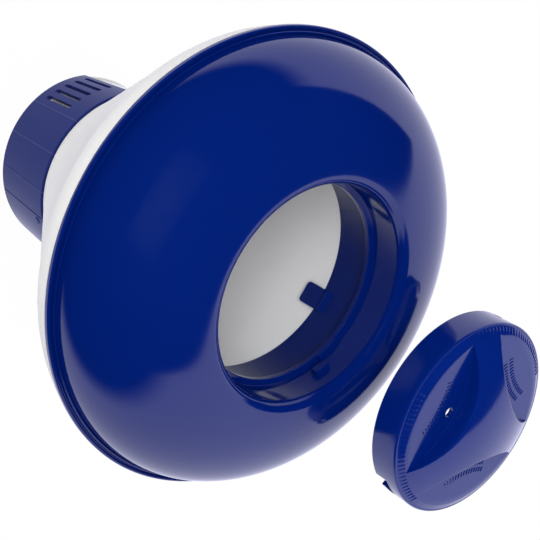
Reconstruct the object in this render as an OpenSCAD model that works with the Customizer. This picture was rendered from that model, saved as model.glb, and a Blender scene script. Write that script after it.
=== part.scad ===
// Floating tablet dispenser: a ring float around a slotted tablet basket, with a turning
// flow regulator. It stands on the foot of its basket; the lid is lifted off towards -X.

/* [Float] */
// Radius of the flange, where the two float halves meet
flange_r = 100; // [92:1:125]
// Height of the flange plane above the foot
flange_z = 150; // [140:1:180]
// Rise of the dome above the flange plane
dome_rise = 35; // [28:1:45]
// Width of the lip outside the dome
lip_w = 3.4; // [3:0.1:5]
// Depth of the rounded band under the flange
band_depth = 18.5; // [14:0.5:24]
// Radius of the band's rounding
band_round = 27.9; // [26:0.1:45]
// Wall of the float halves
float_wall = 2.2; // [1.6:0.1:3]

/* [Mouth] */
// Radius of the mouth at its rim
mouth_r = 46.2; // [38:0.1:52]
// Radius of the rounding at the rim
rim_round = 4.3; // [3:0.1:6]
// Depth of the ledge below the rim
ledge_depth = 13.1; // [11:0.1:16]
// Radial width of the ledge
ledge_w = 2.9; // [2:0.1:4]
// Thickness of the ledge
ledge_t = 2.6; // [1.8:0.1:3.5]
// Inner radius of the collar below the ledge
collar_r = 48.4; // [46.8:0.1:53]
// Depth of the collar's lower edge below the rim
collar_depth = 37.4; // [30:0.1:44]

/* [Basket] */
// Inner radius of the basket at its floor
basket_floor_r = 39.8; // [33:0.1:41]
// Wall of the basket
basket_wall = 2.2; // [1.6:0.1:2.6]
// Thickness of the basket floor
floor_t = 2.4; // [1.8:0.1:4]
// Height of the foot below the regulator
foot_h = 2.2; // [2:0.1:5]
// Depth of the socket that takes the collar
socket_depth = 6; // [3:0.5:12]
// Radius of a drain hole in the floor
drain_r = 2.5; // [1.5:0.1:3.5]
// Number of drain holes round the floor
drain_count = 8; // [4:1:12]

/* [Regulator] */
// Height of the regulator
regulator_h = 44.4; // [35:0.1:51]
// Thickness of the regulator
regulator_t = 2.2; // [1.8:0.1:3]
// Angle that the regulator wraps round the basket
regulator_arc = 300; // [240:1:310]
// Direction of the regulator's slotted end
regulator_start = -48.3; // [-60:0.1:-40]
// Number of flow slots
slot_count = 5; // [3:1:6]
// Angle between neighbouring slots
slot_pitch = 6.9; // [6:0.1:7.5]
// Width of a slot
slot_w = 2.2; // [1.6:0.1:3]
// Length of a slot
slot_l = 23.8; // [16:0.2:26]
// Angle between scale lines
scale_pitch = 22.2; // [16:0.2:24]

/* [Lid] */
// Depth of the lid's skirt
skirt_h = 13.3; // [12:0.1:15]
// Rise of the lid's crown above its edge
crown_rise = 12.4; // [8:0.2:15]
// Wall of the lid
lid_wall = 2.2; // [1.6:0.1:2.6]
// Direction of the first finger pocket
pocket_dir = 12; // [0:1:40]
// Distance from the lid's axis to the near side of a pocket
pocket_near = 16; // [13:0.5:20]
// Height of the pocket floors above the lid's edge
pocket_floor = 2.3; // [1.8:0.1:3]
// Radius of the vent hole
vent_r = 2.4; // [1.2:0.1:2.6]
// Direction of the first bayonet slot
bayonet_dir = 75; // [60:1:100]
// Number of bayonet slots, and of the blocks in the mouth that they take
bayonet_count = 2; // [2:1:3]
// Sideways distance from the mouth's axis to the lid's axis
lid_offset = 96.7; // [90:0.1:120]
// Height of the lid's edge above the rim
lid_lift = 31.3; // [24:0.1:60]

/* [Latch tab] */
// Width of the latch tab
tab_w = 10; // [7:0.5:13]
// Length of the latch tab below the collar's edge
tab_drop = 9; // [5:0.5:11]
// Thickness of the latch tab
tab_t = 1.5; // [1.2:0.1:1.8]
// Direction of the latch tab
tab_dir = 187.2; // [183:0.1:200]

/* [Fits] */
// Gap between pieces that move past each other
run_gap = 0.35; // [0.3:0.05:0.5]
// Gap in a glued joint
glue_gap = 0.15; // [0.1:0.05:0.3]

/* [Hidden] */
$fn = 180;

float_blue = [0.03, 0.11, 0.50];
regulator_blue = [0.10, 0.13, 0.45];
shell_white = [0.88, 0.88, 0.86];

arc_steps = 40;
steps_small = 10;
edge = 0.4;                               // chamfer on small edges
lip_t = 1.2;                              // half the thickness of the lip
crown_r = mouth_r + rim_round;            // radius where the dome is highest
rim_drop = 3.8;                           // drop of the rim below the dome's top
dome_z = flange_z + dome_rise;
rim_z = dome_z - rim_drop;
ledge_z = rim_z - ledge_depth;
ledge_r = mouth_r - ledge_w;
collar_z = rim_z - collar_depth;
collar_out = collar_r + float_wall;
dome_a = flange_r - lip_w - crown_r;

// The basket's wall leans out to meet the collar's lower edge
basket_r0 = basket_floor_r + basket_wall;
basket_r1 = collar_out + 0.45;
basket_lean = (basket_r1 - basket_r0) / collar_z;

regulator_z = foot_h + 0.2;
regulator_top = regulator_z + regulator_h;
neck_z = regulator_top + run_gap + 0.2;
neck_r = basket_out(neck_z) + run_gap + regulator_t - 0.5;
foot_r = basket_out(foot_h) + run_gap + 0.75;
gate_r = 8;                               // radius of the gate boss under the floor
slot_z = regulator_z + 7;
first_slot = regulator_start + 4.5 + slot_pitch * (slot_count - 1);
first_line = first_slot + 6.4;
groove_line = first_line + 2 * scale_pitch + 16;

lid_r = mouth_r - run_gap - 0.05;
lid_z = rim_z + lid_lift;
tip_r = 41.3 / 45.8 * lid_r;              // radius and half angle of a pocket's tips
tip_half = 48;
nub_h = 1.2;

block_w = 9;                              // angle of a bayonet block
block_h = 3.6;
block_z = ledge_z + nub_h + 2.7;
block_dir = 153;
ramp_arc = 15;
channel_arc = 28;                         // angle the lid turns clockwise to lock
channel_lo = block_z - ledge_z - nub_h - run_gap;
channel_hi = channel_lo + block_h + 2 * run_gap;
entry_w = block_w + 2;
nub_dirs = [-15, 42];                      // directions of the nubs from a slot's way in

tab_out = basket_in(collar_z - tab_drop) - run_gap - 0.05;
tab_top = collar_z + 2.2;
tab_round = 2;

// Outer and inner radius of the basket's wall at a height
function basket_out(z) = basket_r0 + basket_lean * z;
function basket_in(z) = basket_out(z) - basket_wall;

// Points of a circular or elliptical arc
function arc_points(c, a, b, t0, t1, steps) = [
    for (i = [0 : steps])
        let (t = t0 + (t1 - t0) * i / steps)
        [c[0] + a * cos(t), c[1] + b * sin(t)]
];

function reversed(list) = [for (i = [len(list) - 1 : -1 : 0]) list[i]];

// Height of the lid's crown above its edge at a radius
function crown_at(r) = crown_rise * (1 - pow(r / lid_r, 2));

// A ring of rectangular section between two radii and two heights
module ring(r_in, r_out, z0, z1) {
    translate([0, 0, z0])
    difference() {
        cylinder(r = r_out, h = z1 - z0);
        translate([0, 0, -1]) cylinder(r = r_in, h = z1 - z0 + 2);
    }
}

// Part of such a ring, from one direction through an angle
module ring_part(dir, angle, r_in, r_out, z0, z1) {
    rotate([0, 0, dir])
    rotate_extrude(angle = angle)
    translate([r_in, z0])
    square([r_out - r_in, z1 - z0]);
}

// Outline of the shell's wall: lip, dome, rim, ledge and collar
module shell_section() {
    c = [crown_r, flange_z];
    outer = arc_points(c, dome_a, dome_rise, 3.6, 90, arc_steps);
    inner = arc_points(c, dome_a - float_wall, dome_rise - float_wall, 90, 0, arc_steps);
    rim = arc_points([crown_r, rim_z], rim_round, rim_drop, 90, 180, steps_small);
    lip = arc_points([flange_r - 0.7, flange_z + 0.7], 0.7, 0.7, 0, 180, steps_small);
    bead_r = flange_r - lip_w + 0.7;
    bead = arc_points([bead_r, flange_z + 1.4], 0.5, 0.5, 0, 180, steps_small);
    polygon(concat(
        [[flange_r - 0.5, flange_z - lip_t], [flange_r, flange_z - lip_t + 0.5]],
        lip,
        [[flange_r - 1.4, flange_z + 0.4], [bead_r + 0.5, flange_z + 0.4]],
        bead,
        outer,
        rim,
        [[mouth_r, ledge_z],
         [ledge_r + edge, ledge_z],
         [ledge_r, ledge_z - edge],
         [ledge_r, ledge_z - ledge_t + edge],
         [ledge_r + edge, ledge_z - ledge_t],
         [collar_r, ledge_z - ledge_t],
         [collar_r, collar_z + edge],
         [collar_r + edge, collar_z],
         [collar_out, collar_z],
         [collar_out, ledge_z - 0.6],
         [collar_out - 0.6, ledge_z],
         [mouth_r + float_wall, ledge_z + 0.6],
         [mouth_r + float_wall, rim_z]],
        inner,
        [[crown_r + dome_a - float_wall, flange_z - lip_t]]
    ));
}

// One bayonet block on the mouth's wall, with the low ramp beside it on the ledge
module bayonet_block() {
    ring_part(-block_w / 2, block_w, ledge_r + edge, mouth_r + 0.5,
              block_z, block_z + block_h);
    ring_part(block_w / 2, ramp_arc, ledge_r + edge / 2, mouth_r + 0.5,
              ledge_z - 0.5, ledge_z + 0.9);
}

// Low pad on the collar's inner face, just above the latch tab
module tab_root() {
    z0 = tab_top + run_gap + 0.15;
    span = tab_w / tab_out * 180 / PI;
    rotate([0, 0, tab_dir - span / 2])
    rotate_extrude(angle = span)
    polygon([[tab_out - tab_t, z0], [collar_r + 0.5, z0], [collar_r + 0.5, z0 + 3],
             [collar_r - 0.05, z0 + 3], [tab_out - tab_t, z0 + 1.5]]);
}

// Blue upper half of the float, with the mouth, ledge and collar
module float_shell() {
    color(float_blue)
    union() {
        rotate_extrude() shell_section();
        for (k = [0 : bayonet_count - 1])
            rotate([0, 0, block_dir + 360 / bayonet_count * k]) bayonet_block();
        tab_root();
    }
}

// Outline of the bowl's wall, round the band and down the cone to the neck
module bowl_section() {
    c = [flange_r - 1 - band_round, flange_z - lip_t];
    turn = asin((band_depth - lip_t) / band_round);
    outer = arc_points(c, band_round, band_round, 0, -turn, 24);
    in_r = band_round - float_wall;
    inner = arc_points(c, in_r, in_r, -turn - 2, 0, 24);
    joint_r = basket_out(neck_z) + glue_gap;
    polygon(concat(
        outer,
        [[neck_r, neck_z + 1.2],
         [neck_r - edge, neck_z],
         [joint_r, neck_z],
         [basket_out(neck_z + 3) + glue_gap, neck_z + 3],
         [basket_out(neck_z + 3) + glue_gap + 0.6, neck_z + 3.6]],
        inner
    ));
}

// White lower half of the float
module float_bowl() {
    color(shell_white)
    rotate_extrude() bowl_section();
}

// A slot with round ends, standing on the origin
module slot_outline() {
    r = slot_w / 2;
    translate([-r, r]) square([slot_w, slot_l - slot_w]);
    for (y = [r, slot_l - r])
        translate([0, y]) circle(r = r, $fn = 48);
}

// The row of flow slots, cut outwards from inside the basket
module flow_slots() {
    for (k = [0 : slot_count - 1])
        rotate([0, 0, first_slot - slot_pitch * k])
        translate([basket_floor_r - 5, 0, slot_z])
        rotate([90, 0, 90])
        linear_extrude(height = 20)
        slot_outline();
}

// Drain holes in the basket's floor
module drain_holes() {
    for (k = [0 : drain_count - 1])
        rotate([0, 0, 360 / drain_count * k])
        translate([basket_floor_r * 0.62, 0, -1])
        cylinder(r = drain_r, h = floor_t + 5, $fn = 48);
}

// White basket that holds the tablets, with a socket round the collar's edge
module tablet_basket() {
    floor_z = 1.2 + floor_t;
    socket_in = collar_out + glue_gap;
    socket_out = socket_in + 1.8;
    color(shell_white)
    difference() {
        rotate_extrude()
        polygon([
            [0, 0],
            [gate_r, 0],
            [gate_r + 1.2, 1.2],
            [basket_floor_r - 3, 1.2],
            [basket_floor_r - 2, 0],
            [foot_r - 0.6, 0],
            [foot_r, 0.6],
            [foot_r, foot_h - run_gap],
            [basket_out(foot_h), foot_h - run_gap],
            [basket_out(collar_z - 3), collar_z - 3],
            [socket_out, collar_z - 1.8],
            [socket_out, collar_z + socket_depth - edge],
            [socket_out - edge, collar_z + socket_depth],
            [socket_in, collar_z + socket_depth],
            [socket_in, collar_z],
            [basket_in(collar_z), collar_z],
            [basket_in(floor_z + 1.5), floor_z + 1.5],
            [basket_in(floor_z) - 1.5, floor_z],
            [0, floor_z]
        ]);
        flow_slots();
        drain_holes();
    }
}

// Outline of the regulator's wall
module regulator_section() {
    r0 = basket_out(regulator_z) + run_gap;
    r1 = basket_out(regulator_top) + run_gap;
    polygon([
        [r0, regulator_z],
        [r0 + regulator_t - edge, regulator_z],
        [r0 + regulator_t, regulator_z + edge],
        [r1 + regulator_t, regulator_top - edge],
        [r1 + regulator_t - edge, regulator_top],
        [r1, regulator_top]
    ]);
}

// A line up the regulator's face, raised above it or cut below it
module face_line(dir, width, low, high) {
    z0 = regulator_z + 1;
    z1 = regulator_top - 1;
    r0 = basket_out(z0) + run_gap + regulator_t;
    r1 = basket_out(z1) + run_gap + regulator_t;
    rotate([0, 0, dir - width / 2])
    rotate_extrude(angle = width)
    polygon([[r0 + low, z0], [r0 + high, z0], [r1 + high, z1], [r1 + low, z1]]);
}

// Small raised arrowhead near the regulator's upper edge
module arrow_mark() {
    z = regulator_top - 7;
    rotate([0, 0, groove_line + 4])
    translate([basket_out(z) + run_gap + regulator_t - 0.6, 0, z])
    rotate([90, 0, 90])
    linear_extrude(height = 1)
    polygon([[-1.8, 0], [0, 0.8], [1.8, 0], [0, 3.4]]);
}

// Blue snap-on sleeve that turns round the basket to open or close its slots
module flow_regulator() {
    color(regulator_blue)
    difference() {
        union() {
            rotate([0, 0, regulator_start])
            rotate_extrude(angle = regulator_arc)
            regulator_section();
            for (k = [0 : 2])
                face_line(first_line + scale_pitch * k, 0.5, -0.5, 0.25);
            arrow_mark();
        }
        flow_slots();
        face_line(groove_line, 0.7, -0.5, 1);
    }
}

// Face of the latch tab, with its lower corners rounded
module tab_outline() {
    bottom = collar_z - tab_drop;
    half = tab_w / 2 - tab_round;
    translate([-tab_w / 2, bottom + tab_round])
    square([tab_w, tab_top - bottom - tab_round]);
    translate([-half, bottom])
    square([2 * half, tab_round + 1]);
    for (x = [-half, half])
        translate([x, bottom + tab_round])
        circle(r = tab_round, $fn = 48);
}

// Springy tongue that hangs from the collar, inside the basket's wall
module latch_tab() {
    color(float_blue)
    rotate([0, 0, tab_dir])
    intersection() {
        ring(tab_out - tab_t, tab_out, collar_z - tab_drop - 1, tab_top + 1);
        translate([tab_out - 8, 0, 0])
        rotate([90, 0, 90])
        linear_extrude(height = 16)
        tab_outline();
    }
}

// The three finger pockets, grown by a margin, from a height up past the crown
module pockets(grow, z0) {
    sag = tip_r * cos(tip_half) - pocket_near;
    near_r = (pow(tip_r * sin(tip_half), 2) + pow(sag, 2)) / (2 * sag);
    for (k = [0 : 2])
        rotate([0, 0, pocket_dir + 120 * k])
        translate([pocket_near + near_r, 0, z0])
        cylinder(r = near_r + grow, h = crown_rise + 10);
}

// One L-shaped bayonet slot through the skirt: way in, then channel
module bayonet_slot() {
    z0 = -skirt_h;
    r_in = lid_r - lid_wall - 1;
    r_out = lid_r + 2;
    ring_part(-entry_w / 2, entry_w, r_in, r_out, z0 - 2, z0 + channel_hi + edge);
    ring_part(entry_w / 2 - 1, channel_arc + 1, r_in, r_out,
              z0 + channel_lo, z0 + channel_hi);
}

// The two nubs under the skirt that stand on the ledge, one each side of a bayonet slot
module skirt_nubs() {
    for (dir = nub_dirs)
        ring_part(dir - 1, 2, lid_r - lid_wall + edge, lid_r - 2 * edge,
                  -skirt_h - nub_h, -skirt_h + 0.5);
}

// Outside of the lid: skirt, rounded edge and crown
module lid_outside() {
    edge_r = 1.2;
    corner = arc_points([lid_r - edge_r, -0.4], edge_r, edge_r, 0, 60, 8);
    crown = [for (i = [1 : 24]) let (r = (lid_r - edge_r) * (1 - i / 24)) [r, crown_at(r)]];
    rotate_extrude()
    polygon(concat([[0, -skirt_h], [lid_r - edge, -skirt_h], [lid_r, -skirt_h + edge]],
                   corner, crown));
}

// Hollow under the lid, leaving a wall round the pockets
module lid_hollow() {
    in_r = lid_r - lid_wall;
    under = [for (i = [0 : 24]) let (r = in_r * (1 - i / 24)) [r, crown_at(r) - lid_wall]];
    difference() {
        rotate_extrude()
        polygon(concat([[0, -skirt_h - 1], [in_r, -skirt_h - 1]], under));
        pockets(lid_wall, pocket_floor - lid_wall);
    }
}

// Blue bayonet lid, with a three-spoke grip left standing between finger pockets
module lid() {
    color(float_blue)
    translate([-lid_offset, 0, lid_z])
    difference() {
        union() {
            difference() {
                lid_outside();
                lid_hollow();
                pockets(0, pocket_floor);
                for (k = [0 : bayonet_count - 1])
                    rotate([0, 0, bayonet_dir + 360 / bayonet_count * k]) bayonet_slot();
            }
            for (k = [0 : bayonet_count - 1])
                rotate([0, 0, bayonet_dir + 360 / bayonet_count * k]) skirt_nubs();
        }
        rotate([0, 0, pocket_dir])
        translate([pocket_near + vent_r + 1.4, 0, -5])
        cylinder(r = vent_r, h = 10, $fn = 48);
    }
}

float_shell();
float_bowl();
tablet_basket();
flow_regulator();
latch_tab();
lid();
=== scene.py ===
"""Looks of the floating tablet dispenser: detailed float halves and lid, plastics, studio."""

import logging
import math
from dataclasses import dataclass, field
from enum import Enum

import bmesh
import bpy
from mathutils import Matrix, Vector


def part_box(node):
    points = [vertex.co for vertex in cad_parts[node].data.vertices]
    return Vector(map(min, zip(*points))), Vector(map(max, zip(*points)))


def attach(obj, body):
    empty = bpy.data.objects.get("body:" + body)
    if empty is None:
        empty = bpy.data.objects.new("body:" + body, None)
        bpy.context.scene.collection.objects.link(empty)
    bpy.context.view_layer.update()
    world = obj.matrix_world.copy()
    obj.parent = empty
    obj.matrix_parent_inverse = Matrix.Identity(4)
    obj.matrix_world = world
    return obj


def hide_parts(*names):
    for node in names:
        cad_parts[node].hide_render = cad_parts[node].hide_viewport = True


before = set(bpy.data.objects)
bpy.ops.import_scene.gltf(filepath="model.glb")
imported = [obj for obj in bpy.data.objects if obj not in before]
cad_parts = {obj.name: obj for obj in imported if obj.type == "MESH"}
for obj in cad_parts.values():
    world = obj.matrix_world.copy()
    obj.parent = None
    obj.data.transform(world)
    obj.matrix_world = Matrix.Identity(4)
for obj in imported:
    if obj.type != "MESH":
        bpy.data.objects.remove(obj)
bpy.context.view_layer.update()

LOG = logging.getLogger("dispenser")

MM = 0.001
ROUND_STEPS = 288
SHARP_ANGLE = math.radians(32.0)

Point = tuple[float, float]
Colour = tuple[float, float, float]


class Slot(Enum):
    """The record's material slots that pieces take their finish from."""

    SHELL = "shell_blue"
    BOWL = "bowl_white"
    BASKET = "basket_white"
    REGULATOR = "regulator_blue"
    TAB = "tab_blue"
    LID = "lid_blue"


class Body(Enum):
    """The rigid bodies that pieces ride on."""

    FLOAT = "float"
    REGULATOR = "regulator"
    LATCH = "latch"
    LID = "lid"


# ---------------------------------------------------------------- outlines and meshes


def arc(centre: Point, across: float, up: float, start: float, end: float, steps: int) -> list[Point]:
    """Points of a circular or elliptical arc.

    Args:
        centre: Radius and height of the arc's centre.
        across: Half width of the ellipse.
        up: Half height of the ellipse.
        start: First angle, in degrees.
        end: Last angle, in degrees.
        steps: Number of pieces that the arc is cut into.

    Returns:
        The points in order.
    """
    angles = [math.radians(start + (end - start) * i / steps) for i in range(steps + 1)]
    return [(centre[0] + across * math.cos(a), centre[1] + up * math.sin(a)) for a in angles]


def put_in_scene(name: str, mesh: bpy.types.Mesh) -> bpy.types.Object:
    """Links a finished mesh to the scene under a piece's name.

    Args:
        name: The piece's name.
        mesh: Its mesh.

    Returns:
        The new object.
    """
    piece = bpy.data.objects.new(name, mesh)
    bpy.context.scene.collection.objects.link(piece)
    return piece


def finish_mesh(name: str, shape: bmesh.types.BMesh) -> bpy.types.Object:
    """Turns a bmesh into a smooth-shaded piece with crisp edges.

    Args:
        name: The piece's name.
        shape: The bmesh, which is freed.

    Returns:
        The new object.
    """
    bmesh.ops.remove_doubles(shape, verts=shape.verts, dist=1e-6)
    bmesh.ops.recalc_face_normals(shape, faces=shape.faces)
    mesh = bpy.data.meshes.new(name)
    shape.to_mesh(mesh)
    shape.free()
    mesh.shade_smooth()
    mesh.set_sharp_from_angle(angle=SHARP_ANGLE)
    return put_in_scene(name, mesh)


def add_turned(
    shape: bmesh.types.BMesh,
    outline: list[Point],
    start: float = 0.0,
    angle: float = 360.0,
    steps: int = ROUND_STEPS,
) -> None:
    """Adds a closed outline turned about the vertical axis.

    Args:
        shape: The bmesh that takes the faces.
        outline: Closed outline as radius and height.
        start: Direction where the turning starts, in degrees.
        angle: Angle turned through, in degrees.
        steps: Number of facets round the turn.
    """
    whole = angle >= 360.0
    rows = []
    for i in range(steps if whole else steps + 1):
        turn = math.radians(start + angle * i / steps)
        rows.append([shape.verts.new((r * math.cos(turn), r * math.sin(turn), z)) for r, z in outline])
    count = len(outline)
    pairs = list(zip(rows, rows[1:] + rows[:1] if whole else rows[1:]))
    for row, ahead in pairs:
        for j in range(count):
            k = (j + 1) % count
            shape.faces.new((row[j], ahead[j], ahead[k], row[k]))
    if not whole:
        shape.faces.new(rows[0])
        shape.faces.new(list(reversed(rows[-1])))


# ---------------------------------------------------------------- shader node groups


class NodeGroup:
    """A shader node group with named sockets and a short way to fill it."""

    def __init__(self, name: str, inputs: dict[str, float], outputs: tuple[str, ...]) -> None:
        """Makes the group with float sockets.

        Args:
            name: The group's name.
            inputs: Input names with their starting values.
            outputs: Output names.
        """
        self.tree = bpy.data.node_groups.new(name, "ShaderNodeTree")
        for label, value in inputs.items():
            socket = self.tree.interface.new_socket(label, in_out="INPUT", socket_type="NodeSocketFloat")
            socket.default_value = value
        for label in outputs:
            self.tree.interface.new_socket(label, in_out="OUTPUT", socket_type="NodeSocketFloat")
        self.inputs = self.tree.nodes.new("NodeGroupInput")
        self.outputs = self.tree.nodes.new("NodeGroupOutput")

    def add(self, kind: str, **settings: object) -> bpy.types.Node:
        """Adds a node and sets its properties.

        Args:
            kind: The node's type name.
            settings: Properties by name.

        Returns:
            The node.
        """
        node = self.tree.nodes.new(kind)
        for key, value in settings.items():
            setattr(node, key, value)
        return node

    def link(self, source: bpy.types.NodeSocket, target: bpy.types.NodeSocket) -> None:
        """Links two sockets."""
        self.tree.links.new(source, target)

    def place(self) -> bpy.types.Node:
        """Adds the object's own coordinates and returns the node that gives them."""
        return self.add("ShaderNodeTexCoord")

    def noise(self, scale_input: str, detail: float, times: float = 1.0) -> bpy.types.NodeSocket:
        """Adds noise whose scale follows a group input.

        Args:
            scale_input: The input that gives the scale.
            detail: Octaves of detail.
            times: The scale is multiplied by this.

        Returns:
            The noise's value socket.
        """
        scale = self.math("MULTIPLY", self.inputs.outputs[scale_input], times)
        noise = self.add("ShaderNodeTexNoise")
        noise.inputs["Detail"].default_value = detail
        self.link(self.place().outputs["Object"], noise.inputs["Vector"])
        self.link(scale, noise.inputs["Scale"])
        return noise.outputs["Fac"]

    def math(self, operation: str, a: object, b: object) -> bpy.types.NodeSocket:
        """Adds a math node on two sockets or numbers and returns its result.

        Args:
            operation: The math operation's name.
            a: First socket or number.
            b: Second socket or number.

        Returns:
            The result socket.
        """
        node = self.add("ShaderNodeMath", operation=operation)
        for socket, value in zip(node.inputs, (a, b)):
            if isinstance(value, bpy.types.NodeSocket):
                self.link(value, socket)
            else:
                socket.default_value = value
        return node.outputs[0]

    def remap(self, value: object, low: float, high: float) -> bpy.types.NodeSocket:
        """Spreads the part of a value between two limits over 0 to 1, smoothly.

        Args:
            value: The socket to spread.
            low: The value that becomes 0.
            high: The value that becomes 1.

        Returns:
            The spread socket.
        """
        node = self.add("ShaderNodeMapRange", interpolation_type="SMOOTHSTEP")
        self.link(value, node.inputs["Value"])
        node.inputs["From Min"].default_value = low
        node.inputs["From Max"].default_value = high
        return node.outputs["Result"]


def mould_ripple_group() -> bpy.types.NodeTree:
    """Slow waves and fine grain that a mould leaves in a plastic skin.

    Returns:
        A group with a Height output.
    """
    group = NodeGroup(
        "mould_ripple",
        {"Wave Scale": 18.0, "Wave": 0.6, "Grain Scale": 900.0, "Grain": 0.1},
        ("Height",),
    )
    wave = group.math("MULTIPLY", group.noise("Wave Scale", 1.0), group.inputs.outputs["Wave"])
    grain = group.math("MULTIPLY", group.noise("Grain Scale", 2.0), group.inputs.outputs["Grain"])
    group.link(group.math("ADD", wave, grain), group.outputs.inputs["Height"])
    return group.tree


def handling_group() -> bpy.types.NodeTree:
    """Faint rubbed patches and hairline scuffs from handling.

    Returns:
        A group with a Roughness output.
    """
    group = NodeGroup(
        "handling_marks", {"Base": 0.15, "Rubbed": 0.05, "Scuffs": 0.05, "Scale": 30.0}, ("Roughness",)
    )
    patches = group.remap(group.noise("Scale", 3.0), 0.45, 0.7)
    stretched = group.add("ShaderNodeMapping")
    stretched.inputs["Scale"].default_value = (1.0, 9.0, 2.0)
    stretched.inputs["Rotation"].default_value = (0.4, 0.9, 0.3)
    group.link(group.place().outputs["Object"], stretched.inputs["Vector"])
    hairs = group.add("ShaderNodeTexNoise")
    hairs.inputs["Detail"].default_value = 4.0
    group.link(stretched.outputs["Vector"], hairs.inputs["Vector"])
    group.link(group.math("MULTIPLY", group.inputs.outputs["Scale"], 9.0), hairs.inputs["Scale"])
    lines = group.remap(hairs.outputs["Fac"], 0.62, 0.70)
    rubbed = group.math("MULTIPLY", patches, group.inputs.outputs["Rubbed"])
    scuffs = group.math("MULTIPLY", lines, group.inputs.outputs["Scuffs"])
    total = group.math("ADD", group.inputs.outputs["Base"], group.math("ADD", rubbed, scuffs))
    group.link(total, group.outputs.inputs["Roughness"])
    return group.tree


def tone_group() -> bpy.types.NodeTree:
    """A slow drift of tone, as pigment and dust leave it.

    Returns:
        A group with a Mask output from 0 to 1.
    """
    group = NodeGroup("tone_drift", {"Scale": 14.0}, ("Mask",))
    group.link(group.remap(group.noise("Scale", 2.0), 0.3, 0.7), group.outputs.inputs["Mask"])
    return group.tree


def direction_group() -> bpy.types.NodeTree:
    """Direction about a piece's upright axis.

    Returns:
        A group with a Degrees output from -180 to 180.
    """
    group = NodeGroup("direction_about_axis", {}, ("Degrees",))
    parts = group.add("ShaderNodeSeparateXYZ")
    group.link(group.place().outputs["Object"], parts.inputs["Vector"])
    turn = group.math("ARCTAN2", parts.outputs["Y"], parts.outputs["X"])
    group.link(group.math("MULTIPLY", turn, math.degrees(1.0)), group.outputs.inputs["Degrees"])
    return group.tree


@dataclass(frozen=True)
class PlasticEffects:
    """The node groups that every plastic shares."""

    ripple: bpy.types.NodeTree
    handling: bpy.types.NodeTree
    tone: bpy.types.NodeTree
    direction: bpy.types.NodeTree

    @classmethod
    def build(cls) -> "PlasticEffects":
        """Builds each group once."""
        return cls(mould_ripple_group(), handling_group(), tone_group(), direction_group())


@dataclass(frozen=True)
class MouldedPlastic:
    """A moulded plastic finish.

    The two colours are its tone where pigment is densest and where it is thinnest; the scale lines' colour
    is a painted highlight on their crests.
    """

    name: str
    colour: Colour
    thin_colour: Colour
    roughness: float
    rubbed: float = 0.03
    scuffs: float = 0.04
    wave: float = 0.5
    grain: float = 0.06
    bump: float = 0.05
    coat: float = 0.0
    ior: float = 1.5
    scatter: float = 0.0
    # Directions of the scale lines that get a painted highlight, then the highlight's colour and its half
    # width in degrees.
    lines: tuple[float, ...] = ()
    line_highlight_colour: Colour = (0.05, 0.06, 0.22)
    line_highlight_half: float = 0.25

    def build(self, effects: PlasticEffects) -> bpy.types.Material:
        """Makes the material.

        Args:
            effects: The shared node groups.

        Returns:
            The material.
        """
        material = bpy.data.materials.new(self.name)
        material.use_nodes = True
        nodes, links = material.node_tree.nodes, material.node_tree.links
        shader = nodes["Principled BSDF"]
        shader.inputs["IOR"].default_value = self.ior
        shader.inputs["Coat Weight"].default_value = self.coat
        shader.inputs["Coat Roughness"].default_value = 0.04
        if self.scatter:
            shader.inputs["Subsurface Weight"].default_value = self.scatter
            shader.inputs["Subsurface Radius"].default_value = (1.0, 0.9, 0.8)
            shader.inputs["Subsurface Scale"].default_value = 0.002

        def place_group(tree: bpy.types.NodeTree, **values: float) -> bpy.types.Node:
            """Adds a shared group and sets its inputs.

            Args:
                tree: The shared group.
                values: The group's inputs, with underscores for spaces.

            Returns:
                The group node.
            """
            node = nodes.new("ShaderNodeGroup")
            node.node_tree = tree
            for label, value in values.items():
                node.inputs[label.replace("_", " ")].default_value = value
            return node

        tone = place_group(effects.tone)
        mix = nodes.new("ShaderNodeMix")
        mix.data_type = "RGBA"
        mix.inputs["A"].default_value = (*self.colour, 1.0)
        mix.inputs["B"].default_value = (*self.thin_colour, 1.0)
        links.new(tone.outputs["Mask"], mix.inputs["Factor"])
        base = mix.outputs["Result"]
        if self.lines:
            base = self.with_painted_line_highlights(material.node_tree, place_group(effects.direction), base)
        links.new(base, shader.inputs["Base Color"])

        handling = place_group(
            effects.handling, Base=self.roughness, Rubbed=self.rubbed, Scuffs=self.scuffs
        )
        links.new(handling.outputs["Roughness"], shader.inputs["Roughness"])

        ripple = place_group(effects.ripple, Wave=self.wave, Grain=self.grain)
        bump = nodes.new("ShaderNodeBump")
        bump.inputs["Strength"].default_value = self.bump
        bump.inputs["Distance"].default_value = 0.002
        links.new(ripple.outputs["Height"], bump.inputs["Height"])
        links.new(bump.outputs["Normal"], shader.inputs["Normal"])
        return material

    def with_painted_line_highlights(
        self, tree: bpy.types.NodeTree, direction: bpy.types.Node, base: bpy.types.NodeSocket
    ) -> bpy.types.NodeSocket:
        """Paints a highlight on the crests of the raised scale lines: a lighter colour in a thin band at
        each line's direction stands in for the light that the crests catch.

        Args:
            tree: The material's node tree.
            direction: The group node that gives the direction about the axis.
            base: The colour without the lines.

        Returns:
            The colour with the lines.
        """
        # Each line's thin band is mixed towards the lighter painted highlight colour.
        for line in self.lines:
            near = tree.nodes.new("ShaderNodeMath")
            near.operation = "COMPARE"
            near.inputs[1].default_value = line
            near.inputs[2].default_value = self.line_highlight_half
            tree.links.new(direction.outputs["Degrees"], near.inputs[0])
            mix = tree.nodes.new("ShaderNodeMix")
            mix.data_type = "RGBA"
            mix.inputs["B"].default_value = (*self.line_highlight_colour, 1.0)
            tree.links.new(near.outputs[0], mix.inputs["Factor"])
            tree.links.new(base, mix.inputs["A"])
            base = mix.outputs["Result"]
        return base


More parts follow.
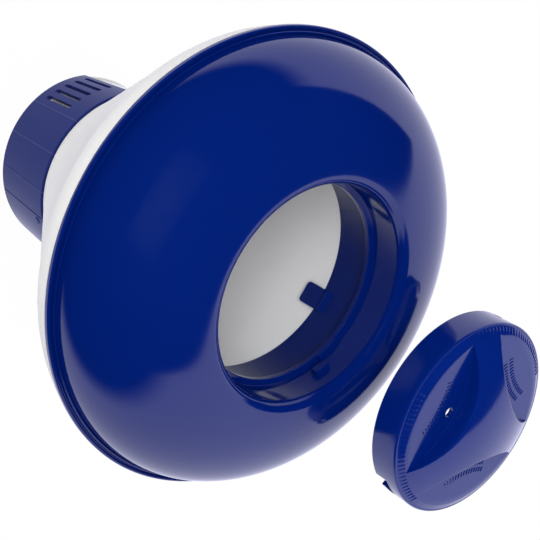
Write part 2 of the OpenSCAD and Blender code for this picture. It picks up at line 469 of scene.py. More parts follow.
@dataclass
class Finishes:
    """One material for each slot of the record."""

    effects: PlasticEffects = field(default_factory=PlasticEffects.build)
    made: dict[Slot, bpy.types.Material] = field(default_factory=dict)

    DEEP_BLUE = (0.00015, 0.0083, 0.108)
    DEEP_BLUE_THIN = (0.0003, 0.0094, 0.118)
    LID_BLUE = (0.0002, 0.0105, 0.136)
    LID_BLUE_THIN = (0.0004, 0.0118, 0.146)
    SLEEVE_BLUE = (0.012, 0.022, 0.130)
    SLEEVE_BLUE_THIN = (0.014, 0.024, 0.145)
    COOL_WHITE = (0.76, 0.76, 0.765)
    COOL_WHITE_THIN = (0.73, 0.73, 0.735)
    WARM_WHITE = (0.69, 0.69, 0.68)
    WARM_WHITE_THIN = (0.66, 0.66, 0.65)
    # Directions of the regulator's scale lines, where a painted highlight lies on the crests.
    SCALE_LINE_HIGHLIGHTS = (-9.8, 12.4, 34.6)

    def build(self) -> None:
        """Makes every finish."""
        blue, thin = self.DEEP_BLUE, self.DEEP_BLUE_THIN
        wanted = {
            Slot.SHELL: MouldedPlastic("glossy_deep_blue_shell", blue, thin, roughness=0.08),
            Slot.LID: MouldedPlastic(
                "glossy_deep_blue_lid", self.LID_BLUE, self.LID_BLUE_THIN, roughness=0.10
            ),
            Slot.TAB: MouldedPlastic("glossy_deep_blue_tab", blue, thin, roughness=0.16),
            Slot.REGULATOR: MouldedPlastic(
                "satin_blue_regulator",
                self.SLEEVE_BLUE,
                self.SLEEVE_BLUE_THIN,
                roughness=0.22,
                grain=0.12,
                ior=1.13,
                lines=self.SCALE_LINE_HIGHLIGHTS,
            ),
            Slot.BOWL: MouldedPlastic(
                "satin_white_bowl",
                self.WARM_WHITE,
                self.WARM_WHITE_THIN,
                roughness=0.45,
                scatter=0.1,
                ior=1.35,
            ),
            Slot.BASKET: MouldedPlastic(
                "smooth_white_basket",
                self.COOL_WHITE,
                self.COOL_WHITE_THIN,
                roughness=0.24,
                scatter=0.1,
            ),
        }
        for slot, finish in wanted.items():
            self.made[slot] = finish.build(self.effects)

    def dress(self, piece: bpy.types.Object, slot: Slot) -> None:
        """Gives a new piece its slot and its material.

        Args:
            piece: The piece.
            slot: The slot that its finish comes from.
        """
        piece.data.materials.clear()
        piece.data.materials.append(self.made[slot])

    def redress(self, node: str, slot: Slot) -> None:
        """Puts a better material in a CAD node's own slots."""
        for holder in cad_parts[node].material_slots:
            holder.material = self.made[slot]


# ---------------------------------------------------------------- the float


@dataclass
class FloatShell:
    """Blue upper half of the float: lip, dome, mouth, ledge and collar."""

    flange_r: float
    dome_z: float
    collar_z: float
    wall: float = 2.2 * MM
    lip_w: float = 3.4 * MM
    lip_low: float = 1.2 * MM
    dome_rise: float = 35.0 * MM
    mouth_r: float = 46.2 * MM
    rim_round: float = 4.3 * MM
    rim_drop: float = 3.8 * MM
    ledge_depth: float = 13.1 * MM
    ledge_w: float = 2.9 * MM
    ledge_t: float = 2.6 * MM
    collar_r: float = 48.4 * MM
    block_dir: float = 153.0
    block_count: int = 2
    block_arc: float = 9.0
    block_h: float = 3.6 * MM
    block_rise: float = 3.9 * MM
    ramp_arc: float = 15.0
    ramp_h: float = 0.9 * MM
    tab_root_arc: float = 12.0
    seam_dir: float = 177.3
    seam_arc: float = 0.3

    @classmethod
    def from_frame(cls) -> "FloatShell":
        """Takes its main sizes from the frame's box of the same piece."""
        low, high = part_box("float_shell")
        return cls(flange_r=high.x, dome_z=high.z, collar_z=low.z)

    @property
    def flange_z(self) -> float:
        """Height of the plane where the dome starts."""
        return self.dome_z - self.dome_rise

    @property
    def rim_z(self) -> float:
        """Height of the mouth's rim."""
        return self.dome_z - self.rim_drop

    @property
    def ledge_z(self) -> float:
        """Height of the ledge that the lid sits on."""
        return self.rim_z - self.ledge_depth

    def outline(self) -> list[Point]:
        """The wall's section, from the lip over the dome and down to the collar.

        Returns:
            The closed outline as radius and height.
        """
        flange, z = self.flange_r, self.flange_z
        crown_r = self.mouth_r + self.rim_round
        dome_a = flange - self.lip_w - crown_r
        ledge_r, ledge, under = self.mouth_r - self.ledge_w, self.ledge_z, self.ledge_z - self.ledge_t
        collar_out, collar = self.collar_r + self.wall, self.collar_z
        bead_r = flange - self.lip_w + 0.7 * MM
        small = 0.4 * MM
        return [
            *arc((flange - 0.5 * MM, z - self.lip_low + 0.5 * MM), 0.5 * MM, 0.5 * MM, -90, 0, 5),
            *arc((flange - 0.7 * MM, z + 0.7 * MM), 0.7 * MM, 0.7 * MM, 0, 180, 12),
            *arc((flange - 1.7 * MM, z + 0.6 * MM), 0.3 * MM, 0.3 * MM, 0, -180, 6),
            *arc((bead_r, z + 1.4 * MM), 0.5 * MM, 0.5 * MM, 0, 180, 10),
            *arc((crown_r, z), dome_a, self.dome_rise, 3.6, 90, 96),
            *arc((crown_r, self.rim_z), self.rim_round, self.rim_drop, 94, 180, 20),
            *arc((self.mouth_r - small, ledge + small), small, small, 0, -90, 4),
            *arc((ledge_r + small, ledge - small), small, small, 90, 180, 4),
            *arc((ledge_r + small, under + small), small, small, 180, 270, 4),
            (self.collar_r, under),
            *arc((self.collar_r + small, collar + small), small, small, 180, 270, 4),
            (collar_out, collar),
            (collar_out, ledge - 0.6 * MM),
            (self.mouth_r + self.wall, ledge + 0.6 * MM),
            (self.mouth_r + self.wall, self.rim_z),
            *arc((crown_r, z), dome_a - self.wall, self.dome_rise - self.wall, 90, 0, 48),
            (crown_r + dome_a - self.wall, z - self.lip_low),
        ]

    def add_blocks(self, shape: bmesh.types.BMesh) -> None:
        """Adds the bayonet blocks and the ramps beside them.

        Args:
            shape: The bmesh that takes the faces.
        """
        inner, outer = self.mouth_r - self.ledge_w, self.mouth_r + 0.4 * MM
        low = self.ledge_z + self.block_rise
        soft = 0.3 * MM
        block = [
            (outer, low),
            *arc((inner + 0.2 * MM + soft, low + soft), soft, soft, 270, 180, 4),
            *arc((inner + 0.2 * MM + soft, low + self.block_h - soft), soft, soft, 180, 90, 4),
            (outer, low + self.block_h),
        ]
        top = self.ledge_z + self.ramp_h
        ramp = [
            (outer, self.ledge_z - 0.4 * MM),
            (inner + 0.05 * MM, self.ledge_z - 0.4 * MM),
            *arc((inner + 0.05 * MM + soft, top - soft), soft, soft, 180, 90, 4),
            (outer, top),
        ]
        for k in range(self.block_count):
            start = self.block_dir + 360 / self.block_count * k
            add_turned(shape, block, start - self.block_arc / 2, self.block_arc, 12)
            add_turned(shape, ramp, start + self.block_arc / 2, self.ramp_arc, 16)

    def add_tab_root(self, shape: bmesh.types.BMesh) -> None:
        """Adds the low pad on the collar that the latch tab hangs from.

        Args:
            shape: The bmesh that takes the faces.
        """
        low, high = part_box("latch_tab")
        centre = math.degrees(math.atan2((low.y + high.y) / 2, (low.x + high.x) / 2))
        inner = -low.x - 1.55 * MM
        z = high.z + 0.5 * MM
        pad = [
            (inner, z),
            (self.collar_r + 0.5 * MM, z),
            (self.collar_r + 0.5 * MM, z + 3.0 * MM),
            (self.collar_r - 0.05 * MM, z + 3.0 * MM),
            (inner, z + 1.5 * MM),
        ]
        add_turned(shape, pad, centre - self.tab_root_arc / 2, self.tab_root_arc, 12)

    def add_seam(self, shape: bmesh.types.BMesh) -> None:
        """Adds the fine parting line that the mould leaves down the collar.

        Args:
            shape: The bmesh that takes the faces.
        """
        low, high = self.collar_z + 1.0 * MM, self.ledge_z - self.ledge_t - 0.2 * MM
        inner, outer = self.collar_r - 0.12 * MM, self.collar_r + 0.3 * MM
        strip = [(outer, low), (inner, low), (inner, high), (outer, high)]
        add_turned(shape, strip, self.seam_dir, self.seam_arc, 1)

    def build(self, finishes: Finishes) -> bpy.types.Object:
        """Builds and dresses the shell.

        Args:
            finishes: The made finishes.

        Returns:
            The shell.
        """
        shape = bmesh.new()
        add_turned(shape, self.outline())
        self.add_blocks(shape)
        self.add_tab_root(shape)
        self.add_seam(shape)
        piece = finish_mesh("blue_float_dome", shape)
        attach(piece, Body.FLOAT.value)
        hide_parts("float_shell")
        finishes.dress(piece, Slot.SHELL)
        return piece


@dataclass
class FloatBowl:
    """White lower half of the float: rounded band, cone and neck ring."""

    top_r: float
    top_z: float
    neck_z: float
    neck_r: float
    wall: float = 2.2 * MM
    band_round: float = 27.9 * MM
    band_fall: float = 17.3 * MM
    joint_gap: float = 0.15 * MM

    @classmethod
    def from_frame(cls) -> "FloatBowl":
        """Takes its main sizes from the boxes of the bowl and the regulator.

        Returns:
            The bowl, ready to build.
        """
        low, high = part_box("float_bowl")
        sleeve_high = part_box("flow_regulator")[1]
        return cls(top_r=high.x, top_z=high.z, neck_z=low.z, neck_r=sleeve_high.x - 0.65 * MM)

    def outline(self) -> list[Point]:
        """The wall's section, round the band and down the cone to the neck.

        Returns:
            The closed outline as radius and height.
        """
        centre = (self.top_r - self.band_round, self.top_z)
        turn = math.degrees(math.asin(self.band_fall / self.band_round))
        inside = self.band_round - self.wall
        inner_r = self.neck_r - 2.0 * MM
        soft = 0.6 * MM
        return [
            *arc(centre, self.band_round, self.band_round, 0, -turn, 40),
            (self.neck_r, self.neck_z + 1.2 * MM),
            *arc((self.neck_r - soft, self.neck_z + soft), soft, soft, 0, -90, 5),
            (inner_r, self.neck_z),
            (inner_r + 0.2 * MM, self.neck_z + 3.0 * MM),
            (inner_r + 0.8 * MM, self.neck_z + 3.6 * MM),
            *arc(centre, inside, inside, -turn - 2, 0, 24),
        ]

    def build(self, finishes: Finishes) -> bpy.types.Object:
        """Builds and dresses the bowl.

        Args:
            finishes: The made finishes.

        Returns:
            The bowl.
        """
        shape = bmesh.new()
        add_turned(shape, self.outline())
        piece = finish_mesh("white_float_bowl", shape)
        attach(piece, Body.FLOAT.value)
        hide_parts("float_bowl")
        finishes.dress(piece, Slot.BOWL)
        return piece


# ---------------------------------------------------------------- the lid


@dataclass(frozen=True)
class LidRay:
    """The lid's vertices in one direction, from the top down the skirt and back under."""

    turn: float
    top: list[bmesh.types.BMVert]
    outer: list[bmesh.types.BMVert]
    inner: list[bmesh.types.BMVert]
    under: list[bmesh.types.BMVert]


@dataclass
class Lid:
    """Bayonet lid: crown with three finger pockets, rounded edge and slotted skirt."""

    centre: Vector
    radius: float
    edge_z: float
    skirt_h: float = 13.3 * MM
    crown_rise: float = 12.4 * MM
    wall: float = 2.2 * MM
    edge_round: float = 1.2 * MM
    pocket_dir: float = 12.0
    pocket_near: float = 16.0 * MM
    pocket_floor: float = 2.3 * MM
    tip_share: float = 41.3 / 45.8
    tip_half: float = 48.0
    fillet: float = 0.7 * MM
    bayonet_dir: float = 75.0
    bayonet_count: int = 2
    entry_arc: float = 11.0
    channel_arc: float = 28.0
    nub_turns: tuple[float, float] = (-15.0, 42.0)
    channel_low: float = 2.35 * MM
    channel_high: float = 6.65 * MM
    nub_h: float = 1.2 * MM
    vent_r: float = 2.4 * MM
    mark_w: float = 0.9 * MM
    mark_h: float = 0.35 * MM
    edge_rows: tuple[tuple[float, float], ...] = ((8.0, 86.0), (238.0, 318.0))
    edge_pitch: float = 3.0
    pocket_rows: tuple[float, ...] = (6.5 * MM, 10.2 * MM)
    pocket_marks: int = 7
    pocket_pitch: float = 1.8 * MM
    pocket_mark_l: float = 2.4 * MM

    @classmethod
    def from_frame(cls) -> "Lid":
        """Takes its place and main sizes from the frame's box of the lid.

        Returns:
            The lid, ready to build.
        """
        low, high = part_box("lid")
        middle = (low + high) / 2
        return cls(
            centre=Vector((middle.x, middle.y, 0.0)),
            radius=(high.x - low.x) / 2,
            edge_z=high.z - cls.crown_rise,
        )

    def crown(self, r: float) -> float:
        """Height of the crown above the lid's edge at a radius."""
        return self.crown_rise * (1 - (r / self.radius) ** 2)

    def near_circle(self) -> tuple[float, float]:
        """Centre distance and radius of the circle that bounds a pocket's near side.

        Returns:
            The distance from the axis, and the radius.
        """
        tip = self.tip_share * self.radius
        half = math.radians(self.tip_half)
        sag = tip * math.cos(half) - self.pocket_near
        r = ((tip * math.sin(half)) ** 2 + sag**2) / (2 * sag)
        return self.pocket_near + r, r

    def wall_radius(self, turn: float, grow: float = 0.0) -> float | None:
        """Radius where a pocket's wall stands in a direction.

        Args:
            turn: Direction from the nearest pocket's middle, in radians.
            grow: The pocket's outline is grown by this.

        Returns:
            The radius, or None where there is no pocket.
        """
        away, r = self.near_circle()
        r += grow
        reach = r**2 - (away * math.sin(turn)) ** 2
        if reach <= 0:
            return None
        return away * math.cos(turn) - math.sqrt(reach)

    def floor_radius(self) -> float:
        """Radius where the pocket floors run out through the crown."""
        return self.radius * math.sqrt(1 - self.pocket_floor / self.crown_rise)

    def top_ray(self, turn: float) -> list[Point]:
        """Radius and height along the top, from the middle to the skirt's lower edge.

        Args:
            turn: Direction from the nearest pocket's middle, in radians.

        Returns:
            The same number of points for every direction.
        """
        out = self.floor_radius()
        stand = self.wall_radius(turn)
        stand = out if stand is None else min(stand, out)
        height = self.crown(stand) - self.pocket_floor
        soft = min(self.fillet, max(height, 0.0) * 0.45, (out - stand) * 0.5)
        start = stand - soft
        points = [(start * i / 14, self.crown(start * i / 14)) for i in range(15)]
        brow = self.crown(stand) - soft
        foot = self.pocket_floor + soft
        for i in range(1, 5):
            a = math.radians(90 - 90 * i / 4)
            lean = self.crown(start) - (brow + soft)
            points.append((start + soft * math.cos(a), brow + soft * math.sin(a) + lean * (1 - i / 4)))
        points += [(stand, brow + (foot - brow) * i / 4) for i in range(1, 4)]
        for i in range(1, 6):
            a = math.radians(180 + 90 * i / 5)
            points.append((stand + soft + soft * math.cos(a), foot + soft * math.sin(a)))
        floor_start = stand + soft
        points += [(floor_start + (out - floor_start) * i / 8, self.pocket_floor) for i in range(1, 9)]
        edge_start = self.radius - 0.6 * MM
        brim = [out + (edge_start - out) * i / 6 for i in range(1, 6)]
        points += [(r, self.crown(r)) for r in brim]
        edge = self.edge_round
        points += arc((self.radius - edge, -0.4 * MM), edge, edge, 60, 0, 6)
        return points

    def under_ray(self, turn: float) -> list[Point]:
        """Radius and height along the underside, from the skirt back to the middle.

        Args:
            turn: Direction from the nearest pocket's middle, in radians.

        Returns:
            The same number of points for every direction.
        """
        inside = self.radius - self.wall
        stand = self.wall_radius(turn, self.wall)
        stand = inside if stand is None else min(stand, inside)
        low = self.pocket_floor - self.wall
        flat_radii = [inside + (stand - inside) * i / 6 for i in range(7)]
        points = [(r, min(low, self.crown(r) - self.wall)) for r in flat_radii]
        top = self.crown(stand) - self.wall
        first = points[-1][1]
        points += [(stand, first + (top - first) * i / 4) for i in range(1, 5)]
        crown_radii = [stand * (1 - i / 12) for i in range(1, 13)]
        points += [(r, self.crown(r) - self.wall) for r in crown_radii]
        return points

    def slot_directions(self) -> list[float]:
        """Directions of the bayonet slots' ways in, in degrees."""
        return [self.bayonet_dir + 360 / self.bayonet_count * k for k in range(self.bayonet_count)]

    def directions(self) -> list[float]:
        """Directions of the rays in degrees, closer together by pocket tips and slots.

        Returns:
            The directions in rising order.
        """
        wanted = {round(i * 1.25, 3) for i in range(288)}
        for k in range(3):
            tips = [self.pocket_dir + 120 * k + side * self.tip_half for side in (-1, 1)]
            for tip in tips:
                wanted |= {round((tip + step * 0.25) % 360, 3) for step in range(-8, 9)}
        for middle in self.slot_directions():
            half = self.entry_arc / 2
            wanted |= {round((middle + d) % 360, 3) for d in (-half, half, half + self.channel_arc)}
        ordered = sorted(wanted)
        return [d for d, ahead in zip(ordered, ordered[1:] + [360.0]) if ahead - d > 0.02]

    def is_open(self, turn: float, height: float) -> bool:
        """Whether a bayonet slot is open at a direction and a height above the skirt's edge.

        Args:
            turn: Direction about the lid's axis, in degrees.
            height: Height above the skirt's lower edge.

        Returns:
            True inside a way in or a channel.
        """
        for middle in self.slot_directions():
            away = (turn - middle + 180) % 360 - 180
            half = self.entry_arc / 2
            if abs(away) < half and height < self.channel_high:
                return True
            if half < away < half + self.channel_arc and self.channel_low < height < self.channel_high:
                return True
        return False

    def skirt_levels(self) -> list[float]:
        """Heights of the skirt's rows above its lower edge, from the top down."""
        top = self.skirt_h - 0.4 * MM
        return [top, 9.5 * MM, self.channel_high, self.channel_low, 1.2 * MM, 0.3 * MM, 0.0]

    def build(self, finishes: Finishes) -> bpy.types.Object:
        """Builds and dresses the lid.

        Args:
            finishes: The made finishes.

        Returns:
            The lid.
        """
        shape = bmesh.new()
        turns = self.directions()
        levels = self.skirt_levels()
        outside, inside = self.radius, self.radius - self.wall
        base = self.edge_z - self.skirt_h
        rays = []
        for turn in turns:
            away = (turn - self.pocket_dir + 60) % 120 - 60
            heading = math.radians(turn)
            flat = Vector((math.cos(heading), math.sin(heading), 0.0))

            def vert(r: float, z: float) -> bmesh.types.BMVert:
                """A vertex on this ray."""
                return shape.verts.new(self.centre + flat * r + Vector((0, 0, z)))

            top = [vert(r, self.edge_z + z) for r, z in self.top_ray(math.radians(away))[1:]]
            under = [vert(r, self.edge_z + z) for r, z in self.under_ray(math.radians(away))[:-1]]
            chamfer = {0.0: 0.3 * MM}
            outer = [vert(outside - chamfer.get(h, 0.0), base + h) for h in levels]
            inner = [vert(inside + chamfer.get(h, 0.0), base + h) for h in levels]
            rays.append(LidRay(turn, top, outer, inner, under))
        peak = self.edge_z + self.crown(0)
        middle_top = shape.verts.new(self.centre + Vector((0, 0, peak)))
        middle_under = shape.verts.new(self.centre + Vector((0, 0, peak - self.wall)))
        for a, b in zip(rays, rays[1:] + rays[:1]):
            self.join_rays(shape, a, b, levels, (middle_top, middle_under))
        self.add_nubs(shape, base)
        self.add_edge_ribs(shape)
        self.add_pocket_ribs(shape)
        piece = finish_mesh("blue_bayonet_lid", shape)
        self.drill_vent(piece)
        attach(piece, Body.LID.value)
        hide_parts("lid")
        finishes.dress(piece, Slot.LID)
        return piece

    def join_rays(
        self,
        shape: bmesh.types.BMesh,
        a: LidRay,
        b: LidRay,
        levels: list[float],
        middles: tuple[bmesh.types.BMVert, bmesh.types.BMVert],
    ) -> None:
        """Adds the faces between two neighbouring rays, leaving the slots open.

        Args:
            shape: The bmesh that takes the faces.
            a: The first ray.
            b: The next ray round the lid.
            levels: Heights of the skirt's rows above its lower edge, from the top down.
            middles: The vertices on the axis, on top and underneath.
        """
        span = (b.turn - a.turn) % 360
        turn = a.turn + span / 2
        middle_top, middle_under = middles

        def quad(*verts: bmesh.types.BMVert) -> None:
            """Adds a face, dropping corners that share a place.

            Args:
                verts: The face's corners in order.
            """
            kept = []
            for v in verts:
                if all((v.co - w.co).length > 1e-7 for w in kept):
                    kept.append(v)
            if len(kept) > 2:
                shape.faces.new(kept)

        top_a, top_b = a.top + [a.outer[0]], b.top + [b.outer[0]]
        quad(middle_top, top_a[0], top_b[0])
        for j in range(len(top_a) - 1):
            quad(top_a[j], top_a[j + 1], top_b[j + 1], top_b[j])
        under_a, under_b = [a.inner[0]] + a.under, [b.inner[0]] + b.under
        for j in range(len(under_a) - 1):
            quad(under_a[j], under_a[j + 1], under_b[j + 1], under_b[j])
        quad(middle_under, under_a[-1], under_b[-1])
        for j in range(len(levels) - 1):
            height = (levels[j] + levels[j + 1]) / 2
            here = self.is_open(turn, height)
            before = self.is_open(turn - span / 2 - 0.01, height)
            after = self.is_open(b.turn + 0.01, height)
            above = j > 0 and self.is_open(turn, (levels[j - 1] + levels[j]) / 2)
            if here:
                if not above:
                    quad(a.outer[j], b.outer[j], b.inner[j], a.inner[j])
                if not before:
                    quad(a.outer[j], a.outer[j + 1], a.inner[j + 1], a.inner[j])
                if not after:
                    quad(b.outer[j], b.outer[j + 1], b.inner[j + 1], b.inner[j])
                continue
            quad(a.outer[j], a.outer[j + 1], b.outer[j + 1], b.outer[j])
            quad(a.inner[j], a.inner[j + 1], b.inner[j + 1], b.inner[j])
            if above:
                quad(a.outer[j], b.outer[j], b.inner[j], a.inner[j])
        if not self.is_open(turn, 0.1 * MM):
            quad(a.outer[-1], b.outer[-1], b.inner[-1], a.inner[-1])

    def add_nubs(self, shape: bmesh.types.BMesh, base: float) -> None:
        """Adds the nubs under the skirt that stand on the ledge, two by each slot.

        Args:
            shape: The bmesh that takes the faces.
            base: Height of the skirt's lower edge.
        """
        inner, outer = self.radius - self.wall + 0.4 * MM, self.radius - 0.8 * MM
        low, high = base - self.nub_h, base + 0.3 * MM
        soft = 0.2 * MM
        nub = [
            (outer, high),
            (inner, high),
            (inner, low + soft),
            (inner + soft, low),
            (outer - soft, low),
            (outer, low + soft),
        ]
        for middle in self.slot_directions():
            for offset in self.nub_turns:
                small = bmesh.new()
                add_turned(small, nub, middle + offset - 1, 2.0, 4)
                small.transform(Matrix.Translation(self.centre))
                mesh = bpy.data.meshes.new("nub")
                small.to_mesh(mesh)
                small.free()
                shape.from_mesh(mesh)
                bpy.data.meshes.remove(mesh)

    def add_rib(
        self,
        shape: bmesh.types.BMesh,
        ends: tuple[Point, ...],
        heights: tuple[float, float],
    ) -> None:
        """Adds a small raised rib that lies on the lid's top.

        Args:
            shape: The bmesh that takes the faces.
            ends: The rib's two ends, across from the lid's axis.
            heights: Heights of the skin above the lid's edge at the two ends.
        """
        along = Vector((ends[1][0] - ends[0][0], ends[1][1] - ends[0][1], 0.0)).normalized()
        side = Vector((-along.y, along.x, 0.0)) * (self.mark_w / 2)
        corners = {}
        for i, (end, height) in enumerate(zip(ends, heights)):
            place = self.centre + Vector((end[0], end[1], self.edge_z + height))
            for j, narrow in ((0, 1.0), (1, 0.4)):
                lift = Vector((0.0, 0.0, self.mark_h if j else -0.05 * MM))
                inset = along * (0.25 * self.mark_w * j * (1 if i == 0 else -1))
                corners[i, j] = [shape.verts.new(place + lift + inset + side * narrow * k) for k in (-1, 1)]
        low_a, top_a, low_b, top_b = corners[0, 0], corners[0, 1], corners[1, 0], corners[1, 1]
        shape.faces.new((top_a[0], top_b[0], top_b[1], top_a[1]))
        shape.faces.new((low_a[0], low_a[1], low_b[1], low_b[0]))
        shape.faces.new((low_a[0], top_a[0], top_a[1], low_a[1]))
        shape.faces.new((low_b[0], low_b[1], top_b[1], top_b[0]))
        for k in (0, 1):
            shape.faces.new((low_a[k], low_b[k], top_b[k], top_a[k]))

    def add_edge_ribs(self, shape: bmesh.types.BMesh) -> None:
        """Adds two rows of short grip ribs round the crown's edge.

        Args:
            shape: The bmesh that takes the faces.
        """
        inner, outer = 0.905 * self.radius, 0.967 * self.radius
        for start, end in self.edge_rows:
            count = round((end - start) / self.edge_pitch)
            for i in range(count + 1):
                turn = math.radians(start + (end - start) * i / count)
                ends = tuple((r * math.cos(turn), r * math.sin(turn)) for r in (inner, outer))
                self.add_rib(shape, ends, (self.crown(inner), self.crown(outer)))

    def add_pocket_ribs(self, shape: bmesh.types.BMesh) -> None:
        """Adds rows of short grip ribs on the pocket floors, along their near walls.

        Args:
            shape: The bmesh that takes the faces.
        """
        away, near = self.near_circle()
        for k in range(3):
            turn = math.radians(self.pocket_dir + 120 * k)
            for row in self.pocket_rows:
                outer = near - row
                for i in range(-self.pocket_marks, self.pocket_marks + 1):
                    lean = math.pi + i * self.pocket_pitch / outer
                    reach = (outer, outer - self.pocket_mark_l)
                    spots = [(away + r * math.cos(lean), r * math.sin(lean)) for r in reach]
                    ends = tuple(
                        (x * math.cos(turn) - y * math.sin(turn), x * math.sin(turn) + y * math.cos(turn))
                        for x, y in spots
                    )
                    self.add_rib(shape, ends, (self.pocket_floor, self.pocket_floor))

    def drill_vent(self, piece: bpy.types.Object) -> None:
        """Cuts the vent hole through the first pocket's floor and applies the cut.

        Args:
            piece: The lid, whose mesh is replaced by the cut one.
        """
        turn = math.radians(self.pocket_dir)
        away = self.pocket_near + self.vent_r + 1.4 * MM
        place = self.centre + Vector((math.cos(turn), math.sin(turn), 0.0)) * away
        drill = bmesh.new()
        middle = place + Vector((0, 0, self.edge_z + self.wall / 2))
        bmesh.ops.create_cone(
            drill,
            cap_ends=True,
            segments=48,
            radius1=self.vent_r,
            radius2=self.vent_r,
            depth=8 * MM,
            matrix=Matrix.Translation(middle),
        )
        mesh = bpy.data.meshes.new("vent_drill")
        drill.to_mesh(mesh)
        drill.free()
        cutter = put_in_scene("vent_drill", mesh)
        cut = piece.modifiers.new("vent", "BOOLEAN")
        cut.operation = "DIFFERENCE"
        cut.object = cutter
        cut.solver = "EXACT"
        bpy.context.view_layer.update()
        evaluated = piece.evaluated_get(bpy.context.evaluated_depsgraph_get())
        result = bpy.data.meshes.new_from_object(evaluated)
        piece.modifiers.clear()
        piece.data = result
        bpy.data.objects.remove(cutter)


# ---------------------------------------------------------------- studio


@dataclass(frozen=True)
class Softbox:
    """A rectangular light that shines at a point and leaves no mark on glossy pieces."""

    name: str
    place: tuple[float, float, float]
    target: tuple[float, float, float]
    width: float
    height: float
    power: float

    def build(self) -> bpy.types.Object:
        """Makes the light.

        Returns:
            The light, placed and turned.
        """
        lamp = bpy.data.lights.new(self.name, "AREA")
        lamp.shape = "RECTANGLE"
        lamp.size, lamp.size_y = self.width, self.height
        lamp.energy = self.power
        holder = bpy.data.objects.new(self.name, lamp)
        bpy.context.scene.collection.objects.link(holder)
        holder.location = self.place
        direction = Vector(self.target) - Vector(self.place)
        holder.rotation_euler = direction.to_track_quat("-Z", "Y").to_euler()
        holder.visible_glossy = False
        return holder


@dataclass(frozen=True)
class Backdrop:
    """The bright sweep behind the object, as its glossy skins mirror it.

    The sweep fills a cone about its middle and fades over its edge. A dark screen with one
    corner stands in front of it: its sides are planes through the object.
    """

    middle: Vector = Vector((-0.8715, -0.1498, -0.4669))
    full_angle: float = 90.0
    dark_angle: float = 104.0
    screen_sides: tuple[Vector, Vector] = (
        Vector((-0.103, 0.4501, 0.887)),
        Vector((0.6454, -0.4537, 0.6145)),
    )
    screen_fade: float = 0.03
    glow: float = 1.12
    tint: Colour = (0.96, 0.95, 1.18)
    tent: float = 0.70

    def ramp(self, tree: bpy.types.NodeTree, way: Vector, low: float, high: float) -> bpy.types.NodeSocket:
        """A smooth step of how far a direction leans towards a given way.

        Args:
            tree: The world's node tree.
            way: The direction that is leant towards.
            low: The cosine where the step starts.
            high: The cosine where it ends.

        Returns:
            A socket from 0 to 1.
        """
        place = tree.nodes.new("ShaderNodeTexCoord")
        dot = tree.nodes.new("ShaderNodeVectorMath")
        dot.operation = "DOT_PRODUCT"
        dot.inputs[1].default_value = way.normalized()
        tree.links.new(place.outputs["Generated"], dot.inputs[0])
        step = tree.nodes.new("ShaderNodeMapRange")
        step.interpolation_type = "SMOOTHSTEP"
        step.inputs["From Min"].default_value = low
        step.inputs["From Max"].default_value = high
        tree.links.new(dot.outputs["Value"], step.inputs["Value"])
        return step.outputs["Result"]

    def build(self) -> None:
        """Makes the world: white when looked at, the sweep in gloss, an even tent otherwise."""
        world = bpy.data.worlds.new("studio_tent")
        bpy.context.scene.world = world
        world.use_nodes = True
        tree = world.node_tree
        nodes, links = tree.nodes, tree.links

        def combine(operation: str, a: bpy.types.NodeSocket, b: object) -> bpy.types.NodeSocket:
            """A math node on a socket and a socket or number.

            Args:
                operation: The math operation's name.
                a: First socket.
                b: Second socket, or a number.

            Returns:
                The result socket.
            """
            node = nodes.new("ShaderNodeMath")
            node.operation = operation
            links.new(a, node.inputs[0])
            if isinstance(b, bpy.types.NodeSocket):
                links.new(b, node.inputs[1])
            else:
                node.inputs[1].default_value = b
            return node.outputs[0]

        dark, full = math.cos(math.radians(self.dark_angle)), math.cos(math.radians(self.full_angle))
        sweep = self.ramp(tree, self.middle, dark, full)
        sides = [self.ramp(tree, side, 0.0, self.screen_fade) for side in self.screen_sides]
        screened = combine("MULTIPLY", sweep, combine("MULTIPLY", *sides))
        strength = combine("MULTIPLY", combine("SUBTRACT", sweep, screened), self.glow)

        def background(value: object, tint: Colour = (1.0, 1.0, 1.0)) -> bpy.types.NodeSocket:
            """A plain background of a given strength and tint.

            Args:
                value: Its strength, as a socket or a number.
                tint: Its colour.

            Returns:
                The background's shader socket.
            """
            node = nodes.new("ShaderNodeBackground")
            node.inputs["Color"].default_value = (*tint, 1.0)
            if isinstance(value, bpy.types.NodeSocket):
                links.new(value, node.inputs["Strength"])
            else:
                node.inputs["Strength"].default_value = value
            return node.outputs[0]

        seen = nodes.new("ShaderNodeLightPath")
        shown = background(self.tent)
        rays = (("Is Glossy Ray", background(strength, self.tint)), ("Is Camera Ray", background(1.0)))
        for ray, seen_there in rays:
            mix = nodes.new("ShaderNodeMixShader")
            links.new(seen.outputs[ray], mix.inputs["Fac"])
            links.new(shown, mix.inputs[1])
            links.new(seen_there, mix.inputs[2])
            shown = mix.outputs[0]
        links.new(shown, nodes["World Output"].inputs["Surface"])


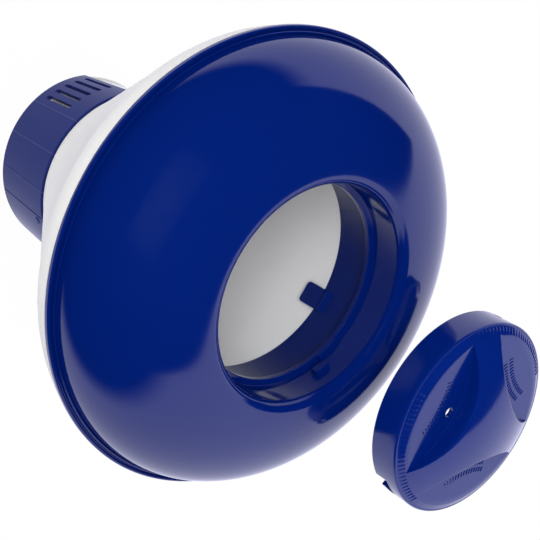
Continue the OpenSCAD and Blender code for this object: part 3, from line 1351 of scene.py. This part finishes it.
@dataclass
class Studio:
    """Pale floor, bright backdrop, soft lights and the camera."""

    flange: Vector
    azimuth: float = 7.2
    elevation: float = 44.46
    distance: float = 0.4563
    aim_offset: tuple[float, float, float] = (-2.36 * MM, -0.37 * MM, 2.47 * MM)
    axis_angle: float = -30.308
    lens: float = 73.333
    sensor: float = 36.0
    floor_half: float = 4.0
    floor_white: float = 0.96
    floor_tone: Colour = (0.82, 0.82, 0.82)
    floor_roughness: float = 0.9

    def build_floor(self) -> bpy.types.Object:
        """Makes the pale floor, overexposed to white where the camera sees it.

        Returns:
            The floor.
        """
        shape = bmesh.new()
        bmesh.ops.create_grid(shape, x_segments=1, y_segments=1, size=self.floor_half)
        mesh = bpy.data.meshes.new("pale_floor")
        shape.to_mesh(mesh)
        shape.free()
        floor = put_in_scene("pale_floor", mesh)
        material = bpy.data.materials.new("pale_floor")
        material.use_nodes = True
        nodes, links = material.node_tree.nodes, material.node_tree.links
        matt = nodes["Principled BSDF"]
        matt.inputs["Base Color"].default_value = (*self.floor_tone, 1.0)
        matt.inputs["Roughness"].default_value = self.floor_roughness
        seen = nodes.new("ShaderNodeLightPath")
        share = nodes.new("ShaderNodeMath")
        share.operation = "MULTIPLY"
        share.inputs[1].default_value = self.floor_white
        links.new(seen.outputs["Is Camera Ray"], share.inputs[0])
        glow = nodes.new("ShaderNodeEmission")
        clear = nodes.new("ShaderNodeBsdfTransparent")
        shown = matt.outputs[0]
        for factor, shader in ((share.outputs[0], glow), (seen.outputs["Is Glossy Ray"], clear)):
            mix = nodes.new("ShaderNodeMixShader")
            links.new(factor, mix.inputs["Fac"])
            links.new(shown, mix.inputs[1])
            links.new(shader.outputs[0], mix.inputs[2])
            shown = mix.outputs[0]
        links.new(shown, nodes["Material Output"].inputs["Surface"])
        floor.data.materials.append(material)
        return floor

    def build_lights(self) -> None:
        """Makes the softboxes."""
        lights = [
            Softbox("back_softbox", (-0.95, -0.05, 0.5), (0, 0, 0.12), 0.8, 0.8, 6.0),
            Softbox("mouth_softbox", (0.42, 0.02, 0.66), (0, 0, 0.13), 0.4, 0.4, 4.0),
        ]
        for light in lights:
            light.build()

    def build_camera(self) -> None:
        """Places the camera, turned so that the float's axis leans as it lies."""
        az, el = math.radians(self.azimuth), math.radians(self.elevation)
        back = Vector((math.cos(el) * math.cos(az), math.cos(el) * math.sin(az), math.sin(el)))
        place = self.flange + back * self.distance
        ahead = (self.flange + Vector(self.aim_offset) - place).normalized()
        upright = Vector((0, 0, 1)) - ahead * ahead.z
        upright.normalize()
        across = ahead.cross(upright)
        turn = math.radians(self.axis_angle)
        right = upright * math.cos(turn) + across * math.sin(turn)
        up = upright * math.sin(turn) - across * math.cos(turn)
        data = bpy.data.cameras.new("camera")
        data.lens = self.lens
        data.sensor_width = self.sensor
        data.clip_start, data.clip_end = 0.01, 50.0
        camera = bpy.data.objects.new("camera", data)
        bpy.context.scene.collection.objects.link(camera)
        turned = Matrix((right, up, -ahead)).transposed().to_4x4()
        camera.matrix_world = Matrix.Translation(place) @ turned
        bpy.context.scene.camera = camera

    def build(self) -> None:
        """Makes the whole studio."""
        bpy.context.scene.view_settings.view_transform = "Standard"
        self.build_floor()
        Backdrop().build()
        self.build_lights()
        self.build_camera()


def main() -> None:
    """Builds the pieces in order, then the studio."""
    logging.basicConfig(level=logging.INFO, format="%(name)s: %(message)s")
    finishes = Finishes()
    finishes.build()
    shell = FloatShell.from_frame()
    for part in (shell, FloatBowl.from_frame(), Lid.from_frame()):
        piece = part.build(finishes)
        LOG.info("%s: %d vertices", piece.name, len(piece.data.vertices))
    for node, slot in (
        ("tablet_basket", Slot.BASKET),
        ("flow_regulator", Slot.REGULATOR),
        ("latch_tab", Slot.TAB),
    ):
        finishes.redress(node, slot)
        LOG.info("%s keeps its own mesh, in %s", node, slot.value)
    Studio(flange=Vector((0.0, 0.0, shell.flange_z))).build()


if __name__ == "__main__":
    main()
